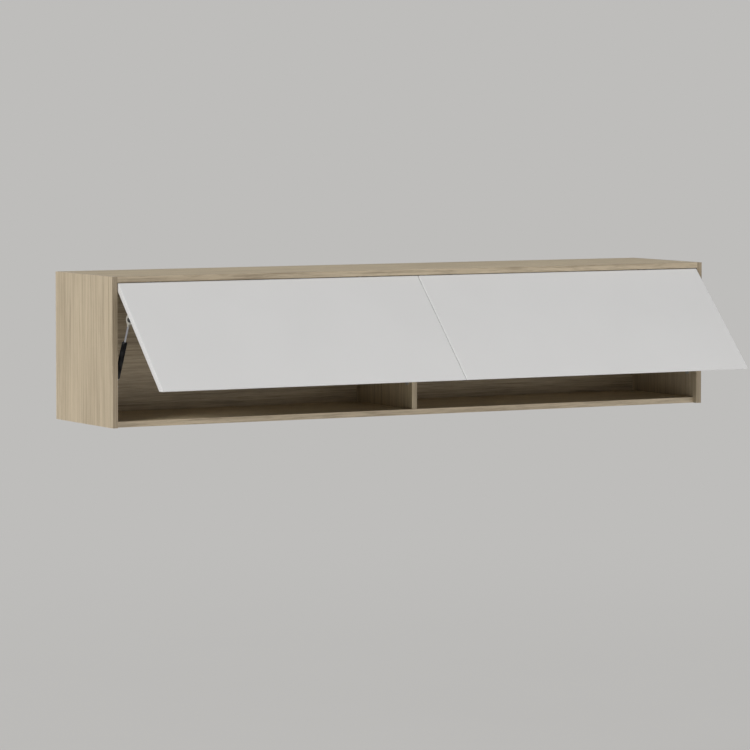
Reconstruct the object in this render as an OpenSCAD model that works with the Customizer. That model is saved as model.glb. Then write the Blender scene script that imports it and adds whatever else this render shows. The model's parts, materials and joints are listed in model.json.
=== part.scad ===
// Lift up wall cabinet: an oak-look carcass with two white flaps under one top panel.
// Each flap hangs on two concealed arc hinges and is held open by a pair of gas struts.
// Lengths are in millimetres. The flaps are drawn in their open position.

/* [Carcass] */
// Outer width of the cabinet
body_w = 1800; // [1200:10:2400]
// Outer height of the cabinet
body_h = 390; // [340:5:480]
// Outer depth of the cabinet, from the front edges to the wall
body_d = 350; // [280:5:450]
// Thickness of the carcass boards
board_t = 15; // [12:1:19]
// How far the bottom panel's front edge sits behind the front
bottom_recess = 18; // [18:0.5:30]
// How far the divider's front edge sits behind the front
divider_recess = 20; // [19:0.5:35]

/* [Back] */
// Thickness of the back panels
back_t = 3; // [3:0.5:6]
// Space between the back panels and the wall
back_gap = 15; // [13:1:25]
// Depth of the grooves that hold the back panels
groove_depth = 7; // [4:0.5:8]

/* [Flaps] */
// Thickness of a flap
flap_t = 16; // [15:1:19]
// Height of a flap
flap_h = 370; // [300:1:460]
// Gap above, beside and between the flaps
flap_gap = 2; // [1:0.5:4]
// Width of the small bevel along a flap's edges
flap_bevel = 0.8; // [0.3:0.1:1.5]
// Thickness left at the foot of the grip bevel on a flap's lower back edge
flap_foot = 3; // [2:0.5:6]
// Opening angle at which the flaps are drawn
flap_open = 45; // [0:1:45]

/* [Hinges] */
// Distance from a flap's end to the middle of its nearest hinge
hinge_inset = 130; // [100:5:250]
// Radius of the hinge cup
cup_r = 17.5; // [17.5:0.5:20]
// Depth of the hinge cup
cup_depth = 11.5; // [10.5:0.5:12.5]
// Distance from the flap's top edge to the middle of the cup
cup_setback = 22.5; // [21:0.5:24]
// Distance between the two screws of a cup
cup_screw_pitch = 48; // [45:1:52]
// Distance between the two screws of a mounting plate
plate_screw_pitch = 32; // [28:1:40]
// Distance from the front to the mounting plate's screws
plate_setback = 56; // [52:1:70]

/* [Gas struts] */
// Distance from a strut's centre line to the panel beside it
strut_off = 14; // [13:0.5:18]
// Outer radius of the tube
tube_r = 7; // [6:0.5:8]
// Length of the tube
tube_len = 107; // [90:1:110]
// Wall of the tube
tube_wall = 1; // [0.8:0.1:1.5]
// Radius of the rod
rod_r = 3; // [2.5:0.5:4]
// Radius of the rod's round head
head_r = 14; // [10:0.5:14]
// Distance of the flap's bracket pivot from the flap's back face
stud_out = 18.5; // [18:0.5:22]
// Distance of the flap's bracket pivot below the hinge axis
stud_down = 95; // [80:1:110]
// Distance of the lower strut pivot behind the front
pivot_back = 46; // [40:1:60]
// Height of the lower strut pivot above the underside
pivot_up = 104; // [90:1:120]

/* [Wall fixing] */
// Height of the wall rail's screw line above the underside
rail_up = 341; // [300:1:420]
// Gap between an end of the wall rail and the side panel
rail_end_gap = 3; // [2:0.5:10]
// Distance between the outer pair of rail holes
rail_outer_pitch = 1600; // [1000:10:2200]
// Distance between the inner pair of rail holes
rail_inner_pitch = 600; // [300:10:900]
// Radius of the rail holes
rail_hole_r = 3.5; // [2.5:0.5:5]

/* [Clearances] */
// Gap of a piece that is pressed or glued into a hole
seat_fit = 0.05; // [0.02:0.01:0.1]
// Gap of a running fit, on the radius
running_fit = 0.05; // [0.02:0.01:0.1]
// Gap between pieces that pass each other
pass_gap = 0.4; // [0.3:0.1:1]

/* [Hidden] */
$fn = 64;
tiny = 0.01;

// Carcass, measured from the middle of the width, the front plane and the underside
in_w = body_w - 2*board_t;
half_in = in_w/2;
top_z = body_h - board_t;
back_y = body_d - back_gap - back_t;
bay_w = half_in - board_t/2;
bay_x = board_t/2 + bay_w/2;

// Flaps in their closed place
flap_w = half_in - 1.5*flap_gap;
flap_x = flap_gap/2 + flap_w/2;
flap_top = top_z - flap_gap;
axis_y = 2;
axis_z = flap_top - 2;
grip_rise = flap_t - flap_foot;
bumper_r = 2.4;
bumper_x = 4;
bumper_zs = [95, 280];

// Hinge pieces
hinge_xs = [flap_x - flap_w/2 + hinge_inset, flap_x + flap_w/2 - hinge_inset];
cup_z = flap_top - cup_setback;
cup_wall = 1;
flange_t = 1.2;
flange_h = 20;
cup_screw_drop = 6;
link_r = 25;
link_t = 2;
link_w = 11;
link_start = 18;
link_end = 86;
guide_angle = 52;
guide_r = 1.5;
cheek_t = 1.5;
cheek_x = link_w/2 + 0.7;
arm_w = 2*(cheek_x + cheek_t);
arm_slant = 18;
cup_pin_r = 2;
eyelet_r = 3.6;
arm_back = plate_setback + 34;
arm_low = top_z - 13;
arm_screw_ys = [-14, 12];
arm_screw_r = 2;
arm_head_r = 4;
plate_t = 3;
plate_l = 44;
wing_r = 6.5;
washer_gap = 0.2;

// Struts: the upper pivot in its closed place, then with the flap open
stud_y0 = flap_t + stud_out;
stud_z0 = axis_z - stud_down;
rel_y = stud_y0 - axis_y;
rel_z = stud_z0 - axis_z;
stud_y = axis_y + rel_y*cos(flap_open) + rel_z*sin(flap_open);
stud_z = axis_z - rel_y*sin(flap_open) + rel_z*cos(flap_open);
strut_len = norm([stud_y - pivot_back, stud_z - pivot_up]);
strut_lean = atan2(pivot_back - stud_y, stud_z - pivot_up);
tube_from = 24.5;
tube_to = tube_from + tube_len;
bore_r = tube_r - tube_wall;
guide_len = 10;
piston_len = 8;
piston_land = 2.5;
piston_top = tube_to - tube_wall - guide_len - 2*seat_fit - 0.3;
rod_tip = 2;
rod_low = piston_top - piston_len - rod_tip;
thin_r = rod_r - 1;
eye_r = 6;
eye_t = 9;
neck_r = 3.6;
pivot_pin_r = 3;
head_t = 8;
head_rim = 1.2;
head_neck = 5;
rod_seat = 3;
cap_r = 5.5;
mouth_low = -5;
mouth_high = 5.5;
lug_t = 2.5;
lug_r = 11;
lug_off = strut_off + head_t/2 + pass_gap;
rivet_r = 4.5;
bracket_t = 2;
foot_w = 24;
foot_h = 44;
foot_screw_in = 12;
foot_screw_up = 14;
side_screw_up = 16;
side_end_r = 10;

// Centre lines of the four struts: where the panel face is, and which way the bay lies
strut_faces_right = [[board_t/2, 1], [half_in, -1]];

// Screws
screw_r = 1.75;
screw_head_r = 3.6;
screw_head_h = 2;
cup_screw_len = 12;
plate_screw_len = 13;
bracket_screw_len = 12;
panel_screw_len = 7.5;
hanger_screw_len = 11;

// Knock-down fittings
kd_ys = [70, body_d - 70];
dowel_r = 4;
dowel_len = 30;
dowel_in_side = 10;
dowel_behind_bolt = 32;
divider_dowel_len = 24;
hole_spare = 1;
cam_r = 7.5;
cam_h = 12.5;
cam_set = 34;
cam_bolt_r = 3;
bolt_in_side = 10;
bolt_hole_in_side = 11;
bolt_short = 3;
divider_groove = groove_depth*0.8;
back_spare = 0.5;

// Wall fixing
rail_len = in_w - 2*rail_end_gap;
rail_t = 2;
rail_low = 14;
rail_step = 4;
lip_up = 20;
hook_slot_w = 32;
hook_slot_up = 10;
lip_foot = 9;
hanger_w = 20;
hanger_d = 55;
hanger_h = 44;
hanger_x = half_in - hanger_w;
hanger_y = back_y - hanger_d - pass_gap;
hanger_z = top_z - hanger_h - 2;
hanger_wall = 2;
hanger_side_wall = 2.5;
hanger_screw_ys = [18, 40];
hanger_screw_z = 9;
adjuster_zs = [10, 24];
adjuster_x = half_in - hanger_w/2 - 1;
adjuster_r = 3;
adjuster_len = 22;
hook_t = 3;
hook_tip_t = 1.5;
hook_drop = 8;
hook_rest = 0.3;

oak = [0.72, 0.66, 0.55];
white = [0.93, 0.93, 0.92];
steel = [0.72, 0.73, 0.74];
black = [0.08, 0.08, 0.08];
grey = [0.62, 0.61, 0.58];
plastic = [0.9, 0.9, 0.88];
beech = [0.8, 0.66, 0.45];

// ---------- helpers ----------

// Moves the cabinet so that the origin is on the wall, midway along the rail's screw line.
module placed() {
    translate([0, -body_d, -rail_up]) children();
}

// A block given by its lowest and highest corners.
module block(lo, hi) {
    translate(lo) cube(hi - lo);
}

// A cylinder along X, centred on x.
module rod_x(r, length, x, y, z) {
    translate([x - length/2, y, z]) rotate([0, 90, 0]) cylinder(r = r, h = length);
}

// A profile drawn in Y and Z, given a width along X and centred on x.
module profile_x(width, x) {
    translate([x - width/2, 0, 0]) rotate([90, 0, 90]) linear_extrude(width) children();
}

// Draws its children for the right bay, mirrored for the left one.
module bay_side(side) {
    if (side > 0) children();
    else mirror([1, 0, 0]) children();
}

// Turns the pieces of a flap from closed to open about the hinge axis.
module opened() {
    translate([0, axis_y, axis_z]) rotate([-flap_open, 0, 0])
        translate([0, -axis_y, -axis_z]) children();
}

// A pan head screw: the head stands on z = 0 and the shank runs down.
module screw(length) {
    difference() {
        union() {
            cylinder(r = screw_head_r, h = screw_head_h*0.55);
            translate([0, 0, screw_head_h*0.55])
                cylinder(r1 = screw_head_r, r2 = screw_head_r*0.6, h = screw_head_h*0.45);
            translate([0, 0, -length + screw_r]) cylinder(r = screw_r, h = length - screw_r);
            translate([0, 0, -length]) cylinder(r1 = 0.3, r2 = screw_r, h = screw_r);
        }
        for (a = [0, 90])
            rotate([0, 0, a]) translate([-1.9, -0.35, screw_head_h*0.45]) cube([3.8, 0.7, screw_head_h]);
    }
}

// The hole that a screw's shank needs in the board below z = 0.
module screw_hole(length) {
    translate([0, 0, -length - 0.5]) cylinder(r = screw_r + seat_fit, h = length + 1);
}

// ---------- places of the repeated pieces, right bay ----------

// Hinge places along the flap.
module at_hinges() {
    for (x = hinge_xs) translate([x, 0, 0]) children();
}

// Screws of the mounting plates, with the head downwards.
module at_plate_screws() {
    at_hinges() for (s = [-1, 1])
        translate([s*plate_screw_pitch/2, plate_setback, top_z - plate_t]) rotate([180, 0, 0]) children();
}

// Screws of the cups, with the head towards the inside of the closed cabinet.
module at_cup_screws() {
    at_hinges() for (s = [-1, 1])
        translate([s*cup_screw_pitch/2, flap_t + flange_t, cup_z - cup_screw_drop])
            rotate([-90, 0, 0]) children();
}

// The two struts of the right bay, drawn as if the panel were on their left.
module at_struts() {
    for (f = strut_faces_right)
        translate([f[0], 0, 0]) bay_side(f[1]) children();
}

// Screws of the flap's strut brackets.
module at_flap_bracket_screws() {
    at_struts() for (s = [-1, 1])
        translate([lug_off + lug_t + foot_screw_in, flap_t + bracket_t, stud_z0 + s*foot_screw_up])
            rotate([-90, 0, 0]) children();
}

// Screws of the strut brackets on the side panels and the divider.
module at_side_bracket_screws() {
    at_struts() for (s = [-1, 1])
        translate([bracket_t, pivot_back + 1, pivot_up + s*side_screw_up]) rotate([0, 90, 0]) children();
}

// Cam housings of the right bay, with +Z going into the board.
module at_cams() {
    for (y = kd_ys, z = [top_z, board_t])
        translate([half_in - cam_set, y, z]) mirror([0, 0, z > body_h/2 ? 0 : 1]) children();
}

// Places on the side panel's inner face, at the middle of the board's thickness.
module at_side_joints(offset_y) {
    for (y = kd_ys, z = [board_t/2, body_h - board_t/2])
        translate([half_in, y + offset_y, z]) children();
}

// ---------- carcass ----------

module back_groove() {
    block([-half_in - groove_depth, back_y - seat_fit, board_t - groove_depth],
          [half_in + groove_depth, back_y + back_t + seat_fit, top_z + groove_depth]);
}

module side_panel() {
    difference() {
        block([half_in, 0, 0], [body_w/2, body_d, body_h]);
        back_groove();
        at_side_joints(0) rod_x(cam_bolt_r + seat_fit, 2*bolt_hole_in_side, 0, 0, 0);
        at_side_joints(dowel_behind_bolt) rod_x(dowel_r + seat_fit, 2*(dowel_in_side + hole_spare), 0, 0, 0);
        at_side_bracket_screws() screw_hole(panel_screw_len);
        at_hanger_screws() screw_hole(hanger_screw_len);
    }
}

module side_left() {
    color(oak) placed() mirror([1, 0, 0]) side_panel();
}

module side_right() {
    color(oak) placed() side_panel();
}

// A top or bottom board with the holes that its fittings need.
module flat_board(z, front_y) {
    difference() {
        block([-half_in, front_y, z], [half_in, body_d, z + board_t]);
        back_groove();
        for (side = [-1, 1]) bay_side(side) {
            at_cams() translate([0, 0, -tiny]) cylinder(r = cam_r + seat_fit, h = cam_h + seat_fit + tiny);
            at_side_joints(0) rod_x(cam_bolt_r + seat_fit, 2*cam_set, 0, 0, 0);
            at_side_joints(dowel_behind_bolt)
                rod_x(dowel_r + seat_fit, 2*(dowel_len - dowel_in_side + hole_spare), 0, 0, 0);
            at_divider_dowels() cylinder(r = dowel_r + seat_fit, h = divider_dowel_len + hole_spare, center = true);
            at_plate_screws() screw_hole(plate_screw_len);
        }
    }
}

module top_panel() {
    color(oak) placed() flat_board(top_z, 0);
}

module bottom_panel() {
    color(oak) placed() flat_board(0, bottom_recess);
}

// Dowels between the divider and the boards above and below it.
module at_divider_dowels() {
    for (y = kd_ys, z = [board_t, top_z]) translate([0, y, z]) children();
}

module divider() {
    color(oak) placed() difference() {
        block([-board_t/2, divider_recess, board_t], [board_t/2, body_d, top_z]);
        for (side = [-1, 1]) bay_side(side) {
            block([board_t/2 - divider_groove, back_y - seat_fit, 0],
                  [board_t, back_y + back_t + seat_fit, body_h]);
            at_side_bracket_screws() screw_hole(panel_screw_len);
        }
        at_divider_dowels() cylinder(r = dowel_r + seat_fit, h = divider_dowel_len + hole_spare, center = true);
        block([-board_t, body_d - rail_t - rail_step - 2, rail_up - rail_low - 2],
              [board_t, body_d + 1, rail_up + lip_up + 2]);
    }
}

// A back panel, with an opening at its outer top corner for the hanger's hook.
module back_panel() {
    difference() {
        block([board_t/2 - divider_groove + back_spare, back_y, board_t - groove_depth + back_spare],
              [half_in + groove_depth - back_spare, back_y + back_t, top_z + groove_depth - back_spare]);
        block([half_in - hook_slot_w, back_y - 1, hanger_z + hook_slot_up],
              [half_in - hanger_wall, back_y + back_t + 1, top_z - hanger_wall]);
    }
}

module back_left() {
    color(oak) placed() mirror([1, 0, 0]) back_panel();
}

module back_right() {
    color(oak) placed() back_panel();
}

// ---------- knock-down fittings ----------

module dowels() {
    color(beech) placed() {
        for (side = [-1, 1]) bay_side(side)
            at_side_joints(dowel_behind_bolt) rod_x(dowel_r, dowel_len, dowel_in_side - dowel_len/2, 0, 0);
        at_divider_dowels() cylinder(r = dowel_r, h = divider_dowel_len, center = true);
    }
}

// A cam housing lies flush in its board, with a cross slot to turn it.
module cam_housings() {
    color(grey) placed() for (side = [-1, 1]) bay_side(side) at_cams() difference() {
        cylinder(r = cam_r, h = cam_h);
        for (a = [0, 90])
            rotate([0, 0, a]) translate([-4, -0.75, -1]) cube([8, 1.5, 3.5]);
        translate([0, 0, board_t/2]) rotate([0, 90, 0]) cylinder(r = cam_bolt_r + 0.5, h = 2*cam_r);
    }
}

module cam_bolts() {
    in_board = cam_set - bolt_short;
    color(steel) placed() for (side = [-1, 1]) bay_side(side) at_side_joints(0)
        rod_x(cam_bolt_r, in_board + bolt_in_side, (bolt_in_side - in_board)/2, 0, 0);
}

// ---------- wall fixing ----------

// The rail: a flat strip on the wall whose upper edge steps forward into a lip.
module wall_rail() {
    lip_y = body_d - rail_t - rail_step;
    bend_z = rail_up + lip_foot;
    bend_in = rail_t*0.4;
    color(steel) placed() difference() {
        profile_x(rail_len, 0) polygon([
            [body_d, rail_up - rail_low],
            [body_d, bend_z],
            [lip_y + rail_t, bend_z + rail_step],
            [lip_y + rail_t, rail_up + lip_up],
            [lip_y, rail_up + lip_up],
            [lip_y, bend_z + rail_step - bend_in],
            [body_d - rail_t, bend_z - bend_in],
            [body_d - rail_t, rail_up - rail_low],
        ]);
        for (x = [-rail_outer_pitch/2, -rail_inner_pitch/2, rail_inner_pitch/2, rail_outer_pitch/2])
            translate([x, body_d + 1, rail_up]) rotate([90, 0, 0]) cylinder(r = rail_hole_r, h = rail_t + 2);
    }
}

// Screws that hold a hanger housing to the side panel, with their heads inside.
module at_hanger_screws() {
    for (y = hanger_screw_ys)
        translate([half_in - hanger_side_wall, hanger_y + y, hanger_z + hanger_screw_z])
            rotate([0, -90, 0]) children();
}

// The housing: a box open towards the back, with two holes for the adjusting screws.
module hanger_housings() {
    color(plastic) placed() for (side = [-1, 1]) bay_side(side) difference() {
        block([hanger_x, hanger_y, hanger_z], [half_in, hanger_y + hanger_d, hanger_z + hanger_h]);
        block([hanger_x, hanger_y, hanger_z] + hanger_wall*[1, 1, 1],
              [half_in - hanger_side_wall, hanger_y + hanger_d + 1, hanger_z + hanger_h - hanger_wall]);
        at_hanger_screws() {
            screw_hole(6);
            translate([0, 0, -tiny]) cylinder(r = screw_head_r + 0.3, h = hanger_w);
        }
        for (z = adjuster_zs)
            translate([adjuster_x, hanger_y - 1, hanger_z + z]) rotate([-90, 0, 0])
                cylinder(r = adjuster_r + washer_gap, h = hanger_wall + 2);
    }
}

// The hook: a steel strip in the housing that reaches over the rail's lip.
module hanger_hooks() {
    lip_back = body_d - rail_step;
    tip_y = lip_back + (body_d - lip_back)/2;
    hook_z = rail_up + lip_up + hook_rest;
    tip_0 = tip_y - hook_tip_t/2;
    tip_1 = tip_y + hook_tip_t/2;
    x0 = hanger_x + 3;
    x1 = half_in - 4;
    color(steel) placed() for (side = [-1, 1]) bay_side(side) {
        difference() {
            union() {
                block([x0, hanger_y + 6, hook_z], [x1, tip_1, hook_z + hook_t]);
                block([x0, tip_0, hook_z - hook_drop], [x1, tip_1, hook_z + 1]);
                block([x0, hanger_y + 6, hanger_z + 2.5], [x1, hanger_y + 6 + hook_t, hook_z + 1]);
            }
            for (z = adjuster_zs)
                translate([adjuster_x, hanger_y, hanger_z + z]) rotate([-90, 0, 0])
                    cylinder(r = adjuster_r + seat_fit, h = 12);
        }
    }
}

// The screws of the housing and the two screws that adjust the hook.
module hanger_screws() {
    color(steel) placed() for (side = [-1, 1]) bay_side(side) {
        at_hanger_screws() screw(hanger_screw_len);
        for (z = adjuster_zs)
            translate([adjuster_x, hanger_y + 0.5, hanger_z + z]) rotate([-90, 0, 0])
                difference() {
                    cylinder(r = adjuster_r, h = adjuster_len);
                    for (a = [0, 90])
                        rotate([0, 0, a]) translate([-2, -0.4, -1]) cube([4, 0.8, 2.5]);
                }
    }
}

// ---------- hinges ----------

// A mounting plate: two wings with a raised spine that carries the arm.
module hinge_plates() {
    color(steel) placed() for (side = [-1, 1]) bay_side(side) difference() {
        at_hinges() {
            difference() {
                union() {
                    translate([0, plate_setback, top_z - plate_t])
                        linear_extrude(plate_t) difference() {
                            union() {
                                square([plate_screw_pitch, 2*wing_r], center = true);
                                for (s = [-1, 1]) translate([s*plate_screw_pitch/2, 0]) circle(r = wing_r);
                                square([2*cheek_x - 1, plate_l], center = true);
                            }
                        }
                    for (y = arm_screw_ys)
                        translate([0, plate_setback + y, arm_low + cheek_t + seat_fit])
                            cylinder(r = arm_head_r, h = top_z - arm_low - cheek_t - seat_fit - 0.5);
                }
                for (y = arm_screw_ys)
                    translate([0, plate_setback + y, arm_low])
                        cylinder(r = arm_screw_r + seat_fit, h = 9);
            }
        }
        at_plate_screws() translate([0, 0, -plate_t - 1])
            cylinder(r = screw_r + washer_gap, h = plate_t + 2);
    }
}

module hinge_plate_screws() {
    color(steel) placed() for (side = [-1, 1]) bay_side(side) at_plate_screws() screw(plate_screw_len);
}

// Places on the arc round the hinge axis: an angle from straight down towards the back.
function on_arc(r, angle) = [axis_y + r*sin(angle), axis_z - r*cos(angle)];
web_end = [6, -4.2];
outer_guide = on_arc(link_r + link_t/2 + guide_r + pass_gap, guide_angle);
inner_guide = on_arc(link_r - link_t/2 - guide_r - pass_gap, guide_angle);

// Outline of the arm's cheeks: a straight body that cranks down to the two guide pins.
module cheek_outline() {
    polygon([
        [arm_back, top_z - 4],
        [arm_back, arm_low + 2],
        [arm_back - 3, arm_low],
        [plate_setback - arm_slant, arm_low],
        outer_guide + web_end,
        outer_guide + [1, -3],
        outer_guide + [-2.4, -1.8],
        inner_guide + [-2.4, 0.6],
        inner_guide + [-1, 2.6],
        inner_guide + [5, 8],
        [plate_setback - 24, top_z - 4],
    ]);
    for (p = [outer_guide, inner_guide]) translate(p) circle(r = 3);
}

// The arm: two cheeks joined by a web, open towards the top panel.
module hinge_arms() {
    color(steel) placed() for (side = [-1, 1]) bay_side(side) at_hinges() difference() {
        union() {
            for (s = [-1, 1]) profile_x(cheek_t, s*(cheek_x + cheek_t/2)) cheek_outline();
            profile_x(2*cheek_x + tiny, 0) polygon([
                [arm_back, arm_low + 2],
                [arm_back - 3, arm_low],
                [plate_setback - arm_slant, arm_low],
                outer_guide + web_end,
                outer_guide + web_end + [0, cheek_t + 0.6],
                [plate_setback - arm_slant - 0.5, arm_low + cheek_t],
                [arm_back - 3.5, arm_low + cheek_t],
                [arm_back - 1, arm_low + 3.5],
            ]);
        }
        for (p = [outer_guide, inner_guide]) rod_x(guide_r + seat_fit, arm_w + 2, 0, p[0], p[1]);
        for (y = arm_screw_ys)
            translate([0, plate_setback + y, arm_low - 1]) cylinder(r = arm_screw_r + pass_gap, h = 4);
    }
}

module hinge_guide_pins() {
    color(steel) placed() for (side = [-1, 1]) bay_side(side) at_hinges()
        for (p = [outer_guide, inner_guide]) rod_x(guide_r, arm_w + 0.6, 0, p[0], p[1]);
}

// The screw that fixes the arm and the one that adjusts it.
module hinge_arm_screws() {
    color(steel) placed() for (side = [-1, 1]) bay_side(side) at_hinges()
        for (y = arm_screw_ys)
            translate([0, plate_setback + y, arm_low]) mirror([0, 0, 1]) difference() {
                union() {
                    cylinder(r = arm_head_r, h = 1.6);
                    translate([0, 0, -8]) cylinder(r = arm_screw_r, h = 8.5);
                }
                for (a = [0, 90])
                    rotate([0, 0, a]) translate([-2, -0.4, 0.7]) cube([4, 0.8, 1.5]);
            }
}

cup_pin_at = on_arc(link_r, link_start);

// The cup: a pressed steel bowl with a screw flange and two lugs for the link's pin.
module hinge_cups() {
    lug_in = link_w/2 + 0.3;
    lug_wall = 2;
    floor_y = flap_t - cup_depth;
    at_hinges() difference() {
        union() {
            translate([0, floor_y, cup_z]) rotate([-90, 0, 0]) difference() {
                cylinder(r = cup_r, h = cup_depth + flange_t);
                translate([0, 0, cup_wall]) cylinder(r = cup_r - cup_wall, h = cup_depth + flange_t);
            }
            translate([0, flap_t, cup_z - cup_screw_drop]) rotate([-90, 0, 0])
                linear_extrude(flange_t) difference() {
                    union() {
                        square([cup_screw_pitch, 2*wing_r], center = true);
                        for (s = [-1, 1]) translate([s*cup_screw_pitch/2, 0]) circle(r = wing_r);
                        translate([0, -cup_screw_drop]) circle(r = cup_r + 1.5);
                    }
                    translate([0, -cup_screw_drop]) circle(r = cup_r - cup_wall);
                }
            for (s = [-1, 1])
                translate([s*(lug_in + lug_wall/2) - lug_wall/2, floor_y + cup_wall - tiny, cup_pin_at[1] - 4])
                    cube([lug_wall, cup_pin_at[0] - floor_y - cup_wall + 3.5, 8]);
        }
        rod_x(cup_pin_r + seat_fit, 2*(lug_in + lug_wall) + 1, 0, cup_pin_at[0], cup_pin_at[1]);
        for (s = [-1, 1])
            translate([s*cup_screw_pitch/2, flap_t - 1, cup_z - cup_screw_drop]) rotate([-90, 0, 0])
                cylinder(r = screw_r + washer_gap, h = flange_t + 2);
    }
}

module hinge_cups_left() {
    color(steel) placed() opened() mirror([1, 0, 0]) hinge_cups();
}

module hinge_cups_right() {
    color(steel) placed() opened() hinge_cups();
}

// Outline of the link: an arc round the hinge axis with an eye on the cup's pin.
module link_outline() {
    inner = link_r - link_t/2;
    outer = link_r + link_t/2;
    difference() {
        union() {
            intersection() {
                translate([axis_y, axis_z]) difference() {
                    circle(r = outer, $fn = 128);
                    circle(r = inner, $fn = 128);
                }
                translate([axis_y, axis_z]) polygon(concat([[0, 0]],
                    [for (a = [link_start : (link_end - link_start)/6 : link_end + tiny])
                        [2*outer*sin(a), -2*outer*cos(a)]]));
            }
            translate(cup_pin_at) circle(r = eyelet_r);
            translate(on_arc(link_r, link_end)) circle(r = link_t/2);
        }
        translate(cup_pin_at) circle(r = cup_pin_r + seat_fit);
    }
}

module hinge_links() {
    at_hinges() profile_x(link_w, 0) link_outline();
}

module hinge_links_left() {
    color(steel) placed() opened() mirror([1, 0, 0]) hinge_links();
}

module hinge_links_right() {
    color(steel) placed() opened() hinge_links();
}

module hinge_cup_pins() {
    at_hinges() rod_x(cup_pin_r, link_w + 4.6, 0, cup_pin_at[0], cup_pin_at[1]);
}

module hinge_cup_pins_left() {
    color(steel) placed() opened() mirror([1, 0, 0]) hinge_cup_pins();
}

module hinge_cup_pins_right() {
    color(steel) placed() opened() hinge_cup_pins();
}

module hinge_cup_screws_left() {
    color(steel) placed() opened() mirror([1, 0, 0]) at_cup_screws() screw(cup_screw_len);
}

module hinge_cup_screws_right() {
    color(steel) placed() opened() at_cup_screws() screw(cup_screw_len);
}

// ---------- flaps ----------

// A flap in its closed place, with the grip bevel and the bores of its cups and screws.
module flap() {
    lo = flap_x - flap_w/2;
    b = flap_bevel;
    foot_z = flap_top - flap_h;
    difference() {
        intersection() {
            profile_x(flap_w, flap_x) polygon([
                [b, flap_top], [0, flap_top - b], [0, foot_z + b], [b, foot_z],
                [flap_foot, foot_z], [flap_t, foot_z + grip_rise],
                [flap_t, flap_top - b], [flap_t - b, flap_top],
            ]);
            translate([lo, 0, 0]) linear_extrude(body_h) polygon([
                [b, 0], [flap_w - b, 0], [flap_w, b], [flap_w, flap_t - b],
                [flap_w - b, flap_t], [b, flap_t], [0, flap_t - b], [0, b],
            ]);
        }
        at_hinges() translate([0, flap_t - cup_depth - 0.2, cup_z]) rotate([-90, 0, 0])
            cylinder(r = cup_r + seat_fit, h = cup_depth + 1);
        at_cup_screws() screw_hole(cup_screw_len);
        at_flap_bracket_screws() screw_hole(bracket_screw_len);
    }
}

module flap_left() {
    color(white) placed() opened() mirror([1, 0, 0]) flap();
}

module flap_right() {
    color(white) placed() opened() flap();
}

// Rubber buttons on the divider's front edge, where a closing flap lands.
module bumpers() {
    bumper_t = divider_recess - flap_t - pass_gap;
    color(grey) placed() for (side = [-1, 1]) bay_side(side)
        for (z = bumper_zs)
            translate([bumper_x, divider_recess, z]) rotate([90, 0, 0])
                cylinder(r1 = bumper_r, r2 = bumper_r - 0.5, h = bumper_t);
}

// ---------- gas struts ----------

// Places its children with +Z along a strut, from the lower pivot up to the rod's head.
module along_strut() {
    at_struts() translate([strut_off, pivot_back, pivot_up]) rotate([strut_lean, 0, 0]) children();
}

// A bracket plate on the panel, with the stud that the tube's eye turns on.
module strut_side_brackets() {
    color(grey) placed() for (side = [-1, 1]) bay_side(side) difference() {
        at_struts() {
            rotate([90, 0, 90]) linear_extrude(bracket_t) {
                translate([pivot_back + 1 - side_end_r, pivot_up - side_screw_up])
                    square([2*side_end_r, 2*side_screw_up]);
                for (s = [-1, 1])
                    translate([pivot_back + 1, pivot_up + s*side_screw_up]) circle(r = side_end_r);
            }
            shoulder = strut_off - eye_t/2 - pass_gap;
            rod_x(eye_r, shoulder, shoulder/2, pivot_back, pivot_up);
            pin_end = strut_off + eye_t/2 + pass_gap;
            rod_x(pivot_pin_r, pin_end, pin_end/2, pivot_back, pivot_up);
            rod_x(pivot_pin_r + 2, 1.6, pin_end + 0.8, pivot_back, pivot_up);
        }
        at_side_bracket_screws() translate([0, 0, -bracket_t - 1])
            cylinder(r = screw_r + washer_gap, h = bracket_t + 2);
    }
}

module strut_side_screws() {
    color(steel) placed() for (side = [-1, 1]) bay_side(side) at_side_bracket_screws() screw(panel_screw_len);
}

// A bracket on the flap's back: a screwed foot and a round-ended lug beside the rod's head.
module strut_flap_brackets() {
    lug_half = foot_h/2 - 2;
    lug_side = lug_r*[cos(50), sin(50)];
    difference() {
        at_struts() {
            translate([lug_off, flap_t, stud_z0 - foot_h/2]) cube([foot_w, bracket_t, foot_h]);
            profile_x(lug_t, lug_off + lug_t/2) {
                translate([stud_y0, stud_z0]) circle(r = lug_r);
                polygon([
                    [flap_t, stud_z0 - lug_half], [flap_t, stud_z0 + lug_half],
                    [flap_t + bracket_t, stud_z0 + lug_half],
                    [stud_y0 + lug_side[0], stud_z0 + lug_side[1]],
                    [stud_y0 + lug_side[0], stud_z0 - lug_side[1]],
                    [flap_t + bracket_t, stud_z0 - lug_half],
                ]);
            }
            rod_x(rivet_r, 2, lug_off + lug_t + 1, stud_y0, stud_z0);
        }
        at_flap_bracket_screws() translate([0, 0, -bracket_t - 1])
            cylinder(r = screw_r + washer_gap, h = bracket_t + 2);
    }
}

module strut_flap_brackets_left() {
    color(grey) placed() opened() mirror([1, 0, 0]) strut_flap_brackets();
}

module strut_flap_brackets_right() {
    color(grey) placed() opened() strut_flap_brackets();
}

module strut_flap_screws_left() {
    color(steel) placed() opened() mirror([1, 0, 0]) at_flap_bracket_screws() screw(bracket_screw_len);
}

module strut_flap_screws_right() {
    color(steel) placed() opened() at_flap_bracket_screws() screw(bracket_screw_len);
}

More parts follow.
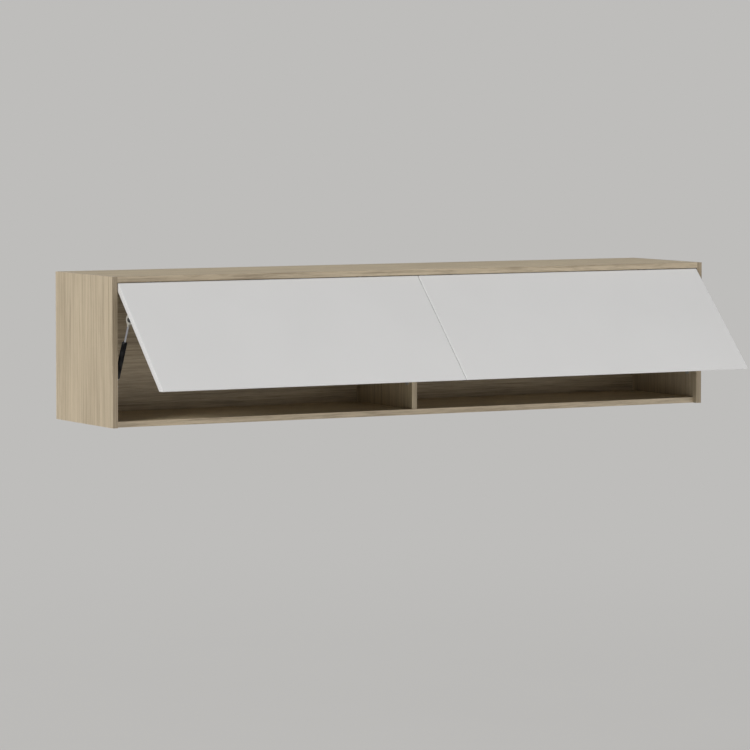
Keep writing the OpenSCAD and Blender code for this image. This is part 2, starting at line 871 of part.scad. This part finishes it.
// The tube: closed at its lower end and rolled in over the rod guide at its mouth.
module strut_tubes() {
    along_strut() rotate_extrude() polygon([
        [0, tube_from], [tube_r - 2, tube_from], [tube_r, tube_from + 2],
        [tube_r, tube_to - 1.5], [tube_r - 1.5, tube_to], [rod_r + 1, tube_to],
        [rod_r + 1, tube_to - tube_wall], [bore_r, tube_to - tube_wall],
        [bore_r, tube_from + 3], [0, tube_from + 3],
    ]);
}

module strut_tubes_left() {
    color(black) placed() mirror([1, 0, 0]) strut_tubes();
}

module strut_tubes_right() {
    color(black) placed() strut_tubes();
}

// The lower fitting: a neck on the tube and an eye round the bracket's stud.
module strut_tube_eyes() {
    along_strut() difference() {
        union() {
            rod_x(eye_r, eye_t, 0, 0, 0);
            translate([0, 0, eye_r - 2]) cylinder(r = neck_r, h = tube_from - eye_r + 2);
            translate([0, 0, tube_from - 7]) cylinder(r1 = neck_r, r2 = tube_r - 2, h = 7);
        }
        rod_x(pivot_pin_r + running_fit, eye_t + 1, 0, 0, 0);
    }
}

module strut_tube_eyes_left() {
    color(grey) placed() mirror([1, 0, 0]) strut_tube_eyes();
}

module strut_tube_eyes_right() {
    color(grey) placed() strut_tube_eyes();
}

// The rod guide in the tube's mouth.
module strut_rod_guides() {
    along_strut() translate([0, 0, tube_to - tube_wall - guide_len - seat_fit]) difference() {
        cylinder(r = bore_r - seat_fit, h = guide_len);
        translate([0, 0, -1]) cylinder(r = rod_r + running_fit, h = guide_len + 2);
    }
}

module strut_rod_guides_left() {
    color(black) placed() mirror([1, 0, 0]) strut_rod_guides();
}

module strut_rod_guides_right() {
    color(black) placed() strut_rod_guides();
}

// The rod: thin below the piston seat, full size up to the head.
module strut_rods() {
    along_strut() {
        translate([0, 0, rod_low]) cylinder(r = thin_r, h = piston_len + rod_tip + 0.5);
        translate([0, 0, piston_top]) cylinder(r = rod_r, h = strut_len - head_r + rod_seat - piston_top);
    }
}

module strut_rods_left() {
    color(steel) placed() mirror([1, 0, 0]) strut_rods();
}

module strut_rods_right() {
    color(steel) placed() strut_rods();
}

// The piston, seated on the thin end of the rod.
module strut_pistons() {
    along_strut() translate([0, 0, piston_top - piston_len]) difference() {
        union() {
            cylinder(r = bore_r - running_fit, h = piston_land);
            cylinder(r = bore_r - 1.2, h = piston_len);
            translate([0, 0, piston_len - piston_land]) cylinder(r = bore_r - running_fit, h = piston_land);
        }
        translate([0, 0, -1]) cylinder(r = thin_r + seat_fit, h = piston_len + 2);
    }
}

module strut_pistons_left() {
    color(black) placed() mirror([1, 0, 0]) strut_pistons();
}

module strut_pistons_right() {
    color(black) placed() strut_pistons();
}

// The head: a round moulded end with a neck that takes the rod. Its middle is bored for the
// dark pin, and its rim is open towards the front, where the head snaps over that pin.
module strut_rod_heads() {
    along_strut() difference() {
        union() {
            rod_x(head_r, head_t - 2, 0, 0, strut_len);
            rod_x(head_r - head_rim, head_t, 0, 0, strut_len);
            translate([0, 0, strut_len - head_r - head_neck])
                cylinder(r1 = rod_r + 0.8, r2 = rod_r + 1, h = head_r);
        }
        translate([0, 0, strut_len - head_r - head_neck - 1])
            cylinder(r = rod_r + seat_fit, h = head_neck + 1 + rod_seat + seat_fit);
        rod_x(cap_r + seat_fit, head_t + 2, 0, 0, strut_len);
        translate([0, 0, strut_len])
            block([-head_t, -head_r - 1, mouth_low], [head_t, 0, mouth_high]);
    }
}

module strut_rod_heads_left() {
    color(grey) placed() mirror([1, 0, 0]) strut_rod_heads();
}

module strut_rod_heads_right() {
    color(grey) placed() strut_rod_heads();
}

// The dark pin in the middle of the head.
module strut_head_caps() {
    along_strut() rod_x(cap_r, head_t, 0, 0, strut_len);
}

module strut_head_caps_left() {
    color(black) placed() mirror([1, 0, 0]) strut_head_caps();
}

module strut_head_caps_right() {
    color(black) placed() strut_head_caps();
}

side_left();
side_right();
top_panel();
bottom_panel();
divider();
back_left();
back_right();
dowels();
cam_housings();
cam_bolts();
wall_rail();
hanger_housings();
hanger_hooks();
hanger_screws();
hinge_plates();
hinge_plate_screws();
hinge_arms();
hinge_arm_screws();
hinge_guide_pins();
strut_side_brackets();
strut_side_screws();
bumpers();
flap_left();
hinge_cups_left();
hinge_links_left();
hinge_cup_pins_left();
hinge_cup_screws_left();
strut_flap_brackets_left();
strut_flap_screws_left();
flap_right();
hinge_cups_right();
hinge_links_right();
hinge_cup_pins_right();
hinge_cup_screws_right();
strut_flap_brackets_right();
strut_flap_screws_right();
strut_tubes_left();
strut_tube_eyes_left();
strut_rod_guides_left();
strut_rods_left();
strut_pistons_left();
strut_rod_heads_left();
strut_head_caps_left();
strut_tubes_right();
strut_tube_eyes_right();
strut_rod_guides_right();
strut_rods_right();
strut_pistons_right();
strut_rod_heads_right();
strut_head_caps_right();
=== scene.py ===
# Lift up wall cabinet: oak-look carcass, two white flaps and their fittings.
# Lengths are in metres, and colours are written in sRGB from 0 to 255.
import json
import math

import bpy
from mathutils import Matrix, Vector


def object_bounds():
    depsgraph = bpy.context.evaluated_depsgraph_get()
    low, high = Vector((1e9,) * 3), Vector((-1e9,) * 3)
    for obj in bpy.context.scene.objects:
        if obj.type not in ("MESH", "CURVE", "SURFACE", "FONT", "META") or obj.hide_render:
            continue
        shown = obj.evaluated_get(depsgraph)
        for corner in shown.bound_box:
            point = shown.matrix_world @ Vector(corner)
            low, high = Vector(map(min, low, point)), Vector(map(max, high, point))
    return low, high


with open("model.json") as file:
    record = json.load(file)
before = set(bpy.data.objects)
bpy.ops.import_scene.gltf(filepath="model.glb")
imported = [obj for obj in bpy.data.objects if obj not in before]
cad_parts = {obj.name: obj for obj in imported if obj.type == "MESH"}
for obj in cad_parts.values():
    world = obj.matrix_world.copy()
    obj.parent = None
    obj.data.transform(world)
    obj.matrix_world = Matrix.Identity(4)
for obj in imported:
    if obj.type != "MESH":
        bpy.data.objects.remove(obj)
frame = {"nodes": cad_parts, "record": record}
cad_lo, cad_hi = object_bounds()
nodes = frame["nodes"]
scene = bpy.context.scene

# ---------- camera, fitted to the photograph ----------

CAMERA_AT = (-5.4474, -10.0456, 0.5457)
CAMERA_YAW = 28.734    # degrees to the right of +Y
CAMERA_PITCH = 4.008   # degrees below the horizon
SENSOR = 36.0          # mm
LENS = 200.36          # mm
CAMERA_REACH = 100

camera_data = bpy.data.cameras.new("camera")
camera_data.sensor_width = SENSOR
camera_data.lens = LENS
camera_data.clip_end = CAMERA_REACH
camera = bpy.data.objects.new("camera", camera_data)
camera.location = CAMERA_AT
camera.rotation_euler = (math.radians(90 - CAMERA_PITCH), 0, math.radians(-CAMERA_YAW))
scene.collection.objects.link(camera)
scene.camera = camera


# ---------- colours ----------

def linear(r, g, b):
    """An sRGB colour of 0 to 255 as the linear colour that shaders take."""
    def one(v):
        v /= 255
        return v / 12.92 if v <= 0.04045 else ((v + 0.055) / 1.055) ** 2.4
    return (one(r), one(g), one(b))


def mixed(colour, other, share):
    return tuple(a + (b - a) * share for a, b in zip(colour, other))


BLACK = (0, 0, 0)
WHITE = (1, 1, 1)


# ---------- node helpers ----------

# Places of a colour Mix node's sockets, whose names repeat for each kind of data.
MIX_A = 6
MIX_B = 7
MIX_RESULT = 2

# The new materials by material slot. Blender changes a material's own name where it is taken.
finishes = {}


class Shader:
    """A material's node tree, with short calls for the nodes that the finishes share.
    A source is a pair: a node, and the name or number of one of its outputs."""

    def __init__(self, name):
        self.material = bpy.data.materials.new(name)
        finishes[name] = self.material
        self.material.use_nodes = True
        self.tree = self.material.node_tree
        self.tree.nodes.clear()
        self.out = self.add("ShaderNodeOutputMaterial")
        self.bsdf = self.add("ShaderNodeBsdfPrincipled")
        self.join((self.bsdf, "BSDF"), self.out, "Surface")
        self.where = self.add("ShaderNodeTexCoord")

    def add(self, kind, **settings):
        node = self.tree.nodes.new(kind)
        for key, value in settings.items():
            setattr(node, key, value)
        return node

    def join(self, source, node, socket):
        self.tree.links.new(source[0].outputs[source[1]], node.inputs[socket])

    def set(self, **values):
        """Sets plain numbers on the Principled shader's own sockets."""
        for key, value in values.items():
            self.bsdf.inputs[key.replace("_", " ")].default_value = value

    def finish(self, colour, rough, normal):
        """Gives the Principled shader its three patterns."""
        self.join(colour, self.bsdf, "Base Color")
        self.join(rough, self.bsdf, "Roughness")
        self.join(normal, self.bsdf, "Normal")

    def scaled(self, scale):
        """Object coordinates, multiplied by scale."""
        node = self.add("ShaderNodeMapping")
        node.inputs["Scale"].default_value = scale
        self.join((self.where, "Object"), node, "Vector")
        return node, "Vector"

    def noise(self, scale=(1, 1, 1), detail=3.0, rough=0.5, size=1.0, distortion=0.0):
        node = self.add("ShaderNodeTexNoise")
        node.inputs["Scale"].default_value = size
        node.inputs["Detail"].default_value = detail
        node.inputs["Roughness"].default_value = rough
        node.inputs["Distortion"].default_value = distortion
        self.join(self.scaled(scale), node, "Vector")
        return node, "Fac"

    def ramp(self, source, stops):
        """Turns a value of 0 to 1 into a colour. Each stop is a value and its colour."""
        node = self.add("ShaderNodeValToRGB")
        elements = node.color_ramp.elements
        while len(elements) < len(stops):
            elements.new(0.5)
        for element, (place, colour) in zip(elements, stops):
            element.position = place
            element.color = (*colour, 1.0)
        self.join(source, node, "Fac")
        return node, "Color"

    def mix(self, kind, share, a, b):
        """Mixes a and b, each a source or a colour. share is a source or a number."""
        node = self.add("ShaderNodeMix", data_type="RGBA", blend_type=kind)
        if isinstance(share, tuple):
            self.join(share, node, "Factor")
        else:
            node.inputs["Factor"].default_value = share
        for socket, source in ((MIX_A, a), (MIX_B, b)):
            if hasattr(source[0], "outputs"):
                self.join(source, node, socket)
            else:
                node.inputs[socket].default_value = (*source, 1.0)
        return node, MIX_RESULT

    def spread(self, source, low, high):
        """Turns a value of 0 to 1 into one of low to high."""
        node = self.add("ShaderNodeMapRange")
        node.inputs["To Min"].default_value = low
        node.inputs["To Max"].default_value = high
        self.join(source, node, "Value")
        return node, "Result"

    def facing(self, axis, least=0.8):
        """1 on the faces that look along an axis, to either side, and 0 elsewhere."""
        along = self.add("ShaderNodeVectorMath", operation="DOT_PRODUCT")
        self.join((self.where, "Normal"), along, 0)
        along.inputs[1].default_value = axis
        size = self.add("ShaderNodeMath", operation="ABSOLUTE")
        self.join((along, "Value"), size, 0)
        near = self.add("ShaderNodeMath", operation="GREATER_THAN")
        near.inputs[1].default_value = least
        self.join((size, 0), near, 0)
        return near, 0

    def bump(self, source, distance, strength, under=None):
        """A bump of a given height. under is the bump that it lies on."""
        node = self.add("ShaderNodeBump")
        node.inputs["Distance"].default_value = distance
        node.inputs["Strength"].default_value = strength
        self.join(source, node, "Height")
        if under is not None:
            self.join(under, node, "Normal")
        return node, "Normal"


# ---------- finishes ----------

# The oak print's layers: what each noise value multiplies the print's colour by.
VEIN_TONES = ((0.36, (0.60, 0.58, 0.55)), (0.48, (0.91, 0.905, 0.90)), (0.62, (1.08, 1.08, 1.07)))
FIBRE_TONES = ((0.36, (0.62, 0.60, 0.57)), (0.50, (0.96, 0.96, 0.96)), (0.66, (1.08, 1.08, 1.07)))
FINE_TONES = ((0.38, (0.82, 0.80, 0.78)), (0.58, (1.0, 1.0, 1.0)))
PORE_TONES = ((0.30, (0.55, 0.50, 0.45)), (0.37, (1.0, 1.0, 1.0)))
PLANK_TONES = ((0.35, (0.93, 0.92, 0.91)), (0.65, (1.04, 1.04, 1.04)))


def oak(name, along, light, dark, seed, band=(1, 1, 1), veining=0.55, fleck=1.0,
        figure=1.0, close=1.0):
    """Foil with an oak print. along is the axis, X or Z, that the grain runs along, and seed
    gives each board its own flow. band is the colour of the front edge's band as a share of
    the faces' colour. veining is how strongly the narrow veins show, and figure how strongly
    the broad rings do. fleck is how short the streaks are, and close how near each other."""
    s = Shader(name)

    def stretch(slow, quick):
        """Pattern scale: slow per metre along the grain, quick per metre across it."""
        return (slow, quick, quick) if along == "X" else (quick, quick, slow)

    def shade(share):
        return mixed(light, dark, share * figure)

    flow = s.noise(stretch(1.1, 9), detail=4, rough=0.55, distortion=0.6, size=1.0 + seed * 0.07)
    veins = s.noise(stretch(4.5 * fleck, 150 * close), detail=5, rough=0.72, distortion=0.2)
    fibre = s.noise(stretch(14 * fleck, 190 * close), detail=5, rough=0.66)
    fine = s.noise(stretch(14, 620), detail=3, rough=0.6)
    pores = s.noise(stretch(26, 900), detail=2, rough=0.5)
    plank = s.noise(stretch(0.5, 2.6), detail=1, rough=0.4)

    rings = s.add("ShaderNodeTexWave", wave_type="BANDS",
                  bands_direction="Z" if along == "X" else "X")
    rings.inputs["Scale"].default_value = 1.0
    rings.inputs["Distortion"].default_value = 9.0
    rings.inputs["Detail"].default_value = 3.0
    rings.inputs["Detail Scale"].default_value = 0.8
    s.join(s.scaled(stretch(1.6, 11)), rings, "Vector")

    ground = s.ramp(flow, ((0.30, shade(0.40)), (0.52, shade(0.20)), (0.72, light)))
    ring = s.ramp((rings, "Fac"), ((0.0, shade(0.42)), (0.45, shade(0.14)), (1.0, light)))
    colour = s.mix("MIX", 0.35, ground, ring)
    for layer, share, tones in (
        (veins, veining, VEIN_TONES),
        (fibre, 0.65, FIBRE_TONES),
        (fine, 0.45, FINE_TONES),
        (pores, 0.40, PORE_TONES),
        (plank, 0.80, PLANK_TONES),
    ):
        colour = s.mix("MULTIPLY", share, colour, s.ramp(layer, tones))
    colour = s.mix("MULTIPLY", s.facing((0, 1, 0)), colour, band)

    emboss = s.bump(fine, 0.00006, 0.8)
    s.finish(colour, s.spread(fibre, 0.42, 0.60), s.bump(pores, 0.00010, 0.5, under=emboss))
    s.set(Specular_IOR_Level=0.42)


def laminate(name, colour, end_tone_and_seam_shade):
    """White laminate: a fine pearl texture and a slow change of sheen. The end faces and the
    bevels beside them take a share of the face's tone, given as the third argument: partly a
    greyer edge band, partly painted shade that dulls the bevels' highlight along the seam between
    the flaps."""
    s = Shader(name)
    pearl = s.noise(size=2600)
    slow = s.noise(detail=2, size=5)
    tint = s.ramp(slow, ((0.35, mixed(colour, BLACK, 0.015)), (0.65, colour)))
    # Painted shade: the mask takes in the bevels as well as the end faces, so the bevels are
    # darkened and the seam between the flaps shows as a dark line.
    banded_and_seam_shaded = s.mix("MULTIPLY", s.facing((1, 0, 0), 0.5), tint, (end_tone_and_seam_shade, end_tone_and_seam_shade, end_tone_and_seam_shade))
    s.finish(banded_and_seam_shaded, s.spread(slow, 0.34, 0.46), s.bump(pearl, 0.00001, 0.4))
    s.set(Specular_IOR_Level=0.45)


def metal(name, colour, rough, brushed=(60, 60, 900), grain=0.00001):
    """Plated or bright metal: a fine drawn grain and a cloudy roughness. brushed is the
    grain's scale per metre along each axis, and grain its depth."""
    s = Shader(name)
    drawn = s.noise(brushed, rough=0.6)
    cloud = s.noise(detail=4, size=90)
    tint = s.ramp(cloud, ((0.3, mixed(colour, BLACK, 0.14)), (0.7, colour)))
    s.finish(tint, s.spread(cloud, rough * 0.75, rough * 1.3), s.bump(drawn, grain, 0.7))
    s.set(Metallic=1.0)


def coated(name, colour, rough, specular=0.5):
    """Paint, enamel or moulded plastic: a fine surface grain and slight tone changes."""
    s = Shader(name)
    skin = s.noise(size=1400)
    cloud = s.noise(size=45)
    tint = s.ramp(cloud, ((0.3, mixed(colour, BLACK, 0.12)), (0.7, mixed(colour, WHITE, 0.03))))
    s.finish(tint, s.spread(cloud, rough * 0.85, rough * 1.15), s.bump(skin, 0.00003, 0.6))
    s.set(Specular_IOR_Level=specular)


OAK_LIGHT = linear(196, 181, 152)
OAK_DARK = linear(132, 114, 86)
SIDE_LIGHT = linear(193, 179, 155)
SIDE_DARK = linear(133, 117, 93)
BACK_LIGHT = linear(182, 166, 139)
BACK_DARK = linear(120, 103, 78)
BEECH_LIGHT = linear(214, 180, 132)
BEECH_DARK = linear(170, 134, 92)

oak("oak_side", "Z", SIDE_LIGHT, SIDE_DARK, 0, band=(0.80, 0.775, 0.745), veining=0.5,
    fleck=0.35, figure=0.8, close=1.25)
oak("oak_board", "X", OAK_LIGHT, OAK_DARK, 3, band=(1.15, 1.16, 1.24), veining=0.7)
oak("oak_divider", "Z", OAK_LIGHT, OAK_DARK, 5, band=(0.82, 0.81, 0.81), fleck=0.4)
oak("oak_back", "X", BACK_LIGHT, BACK_DARK, 8, veining=0.95, figure=0.6, close=1.7)
# The flaps' end faces and bevels at 0.86 of the face's tone: a greyer edge band, and painted shade
# along the seam between the flaps.
laminate("white_laminate", linear(223, 223, 223), end_tone_and_seam_shade=0.86)
oak("beech", "X", BEECH_LIGHT, BEECH_DARK, 2)
metal("zinc_casting", linear(176, 176, 172), 0.5, grain=0.00004)
metal("zinc_steel", linear(196, 198, 200), 0.34)
metal("nickel_steel", linear(204, 202, 198), 0.26)
metal("bright_rod", linear(186, 186, 190), 0.16, brushed=(900, 900, 40), grain=0.000004)
coated("black_enamel", linear(5, 5, 6), 0.42, specular=0.07)
coated("grey_fitting", linear(168, 165, 156), 0.5)
coated("grey_bracket", linear(160, 157, 150), 0.42)
coated("black_plastic", linear(26, 26, 27), 0.5)
coated("white_plastic", linear(226, 225, 220), 0.45)
coated("clear_rubber", linear(196, 196, 192), 0.4, specular=0.6)

slot_of = {row["node"]: row["material_slot"] for row in frame["record"]["subparts"]}
for node_name, node in nodes.items():
    node.data.materials.clear()
    node.data.materials.append(finishes[slot_of[node_name]])


# ---------- edges ----------

EDGE_WIDTH = 0.0004
EDGE_SEGMENTS = 2
EDGE_ANGLE = 40   # degrees: flatter edges stay as they are


def soften(node_name):
    """Rounds a board's sharp edges a little, so that they catch the light."""
    bevel = nodes[node_name].modifiers.new("edge", "BEVEL")
    bevel.width = EDGE_WIDTH
    bevel.segments = EDGE_SEGMENTS
    bevel.limit_method = "ANGLE"
    bevel.angle_limit = math.radians(EDGE_ANGLE)
    bevel.harden_normals = True


for board in ("side_left", "side_right", "top_panel", "bottom_panel", "divider"):
    soften(board)


# ---------- floor and world ----------

BACKDROP = linear(190, 189, 187)
FLOOR = linear(216, 215, 213)
FLOOR_DROP = 1.3          # below the cabinet's underside
FLOOR_REACH = 60.0        # from the middle to each side
FLOOR_NEAR = (1.5, 0.62)  # distance from the middle, and the backdrop's share there
FLOOR_FAR = (9.0, 1.0)
FILL = (0.95, 0.97, 1.0)
FILL_STRENGTH = 0.04


def floor_finish():
    """A pale matt floor. The camera sees it blend into the backdrop away from the object."""
    s = Shader("floor")
    cloud = s.noise(size=1.5)
    tint = s.ramp(cloud, ((0.3, mixed(FLOOR, BLACK, 0.03)), (0.7, FLOOR)))
    s.join(tint, s.bsdf, "Base Color")
    s.set(Roughness=0.9)

    far = s.add("ShaderNodeVectorMath", operation="LENGTH")
    s.join((s.where, "Object"), far, 0)
    share = s.add("ShaderNodeMapRange", interpolation_type="SMOOTHSTEP")
    share.inputs["From Min"].default_value, share.inputs["To Min"].default_value = FLOOR_NEAR
    share.inputs["From Max"].default_value, share.inputs["To Max"].default_value = FLOOR_FAR
    s.join((far, "Value"), share, "Value")

    ray = s.add("ShaderNodeLightPath")
    seen = s.add("ShaderNodeMath", operation="MAXIMUM")
    s.join((ray, "Is Camera Ray"), seen, 0)
    s.join((ray, "Is Glossy Ray"), seen, 1)
    part = s.add("ShaderNodeMath", operation="MULTIPLY")
    s.join((seen, 0), part, 0)
    s.join((share, "Result"), part, 1)

    glow = s.add("ShaderNodeEmission")
    glow.inputs["Color"].default_value = (*BACKDROP, 1)
    blend = s.add("ShaderNodeMixShader")
    s.join((part, 0), blend, "Fac")
    s.join((s.bsdf, "BSDF"), blend, 1)
    s.join((glow, "Emission"), blend, 2)
    s.join((blend, 0), s.out, "Surface")
    return s.material


floor_z = cad_lo.z - FLOOR_DROP
floor_mesh = bpy.data.meshes.new("floor")
floor_mesh.from_pydata(
    [(x * FLOOR_REACH, y * FLOOR_REACH, floor_z) for x, y in ((-1, -1), (1, -1), (1, 1), (-1, 1))],
    [], [(0, 1, 2, 3)],
)
floor = bpy.data.objects.new("floor", floor_mesh)
scene.collection.objects.link(floor)
floor_mesh.materials.append(floor_finish())


def make_world():
    """The backdrop's colour for the camera and in reflections, and a faint fill elsewhere."""
    world = bpy.data.worlds.new("world")
    world.use_nodes = True
    tree = world.node_tree
    tree.nodes.clear()
    out = tree.nodes.new("ShaderNodeOutputWorld")
    backdrop = tree.nodes.new("ShaderNodeBackground")
    backdrop.inputs["Color"].default_value = (*BACKDROP, 1)
    fill = tree.nodes.new("ShaderNodeBackground")
    fill.inputs["Color"].default_value = (*FILL, 1)
    fill.inputs["Strength"].default_value = FILL_STRENGTH
    ray = tree.nodes.new("ShaderNodeLightPath")
    seen = tree.nodes.new("ShaderNodeMath")
    seen.operation = "MAXIMUM"
    switch = tree.nodes.new("ShaderNodeMixShader")
    tree.links.new(ray.outputs["Is Camera Ray"], seen.inputs[0])
    tree.links.new(ray.outputs["Is Glossy Ray"], seen.inputs[1])
    tree.links.new(seen.outputs[0], switch.inputs["Fac"])
    tree.links.new(fill.outputs[0], switch.inputs[1])
    tree.links.new(backdrop.outputs[0], switch.inputs[2])
    tree.links.new(switch.outputs[0], out.inputs["Surface"])
    return world


scene.world = make_world()


# ---------- lamps ----------

centre = (cad_lo + cad_hi) / 2


def area_light(name, direction, distance, width, height, power, colour=WHITE):
    """A soft lamp that faces the object from a direction, which points from the object to it."""
    data = bpy.data.lights.new(name, "AREA")
    data.shape = "RECTANGLE"
    data.size = width
    data.size_y = height
    data.energy = power
    data.color = colour
    lamp = bpy.data.objects.new(name, data)
    lamp.location = centre + Vector(direction).normalized() * distance
    lamp.rotation_euler = (centre - lamp.location).to_track_quat("-Z", "Y").to_euler()
    scene.collection.objects.link(lamp)
    return lamp


area_light("key", (-0.745, -0.19, 0.64), distance=40.0, width=20.0, height=20.0, power=16600,
           colour=(1.0, 0.99, 0.975))

# From below the cabinet's underside, as light comes back from a pale floor in front of it.
low_lamp = area_light("low", (0.28, -1.0, -0.24), distance=2.9, width=5.0, height=1.1, power=34)
low_lamp.visible_camera = False

back_lamp = area_light("back", (0.45, 1.0, 0.05), distance=24.0, width=12.0, height=8.0,
                       power=1800, colour=(1.0, 0.97, 0.92))
back_lamp.visible_glossy = False

scene.view_settings.view_transform = "Standard"
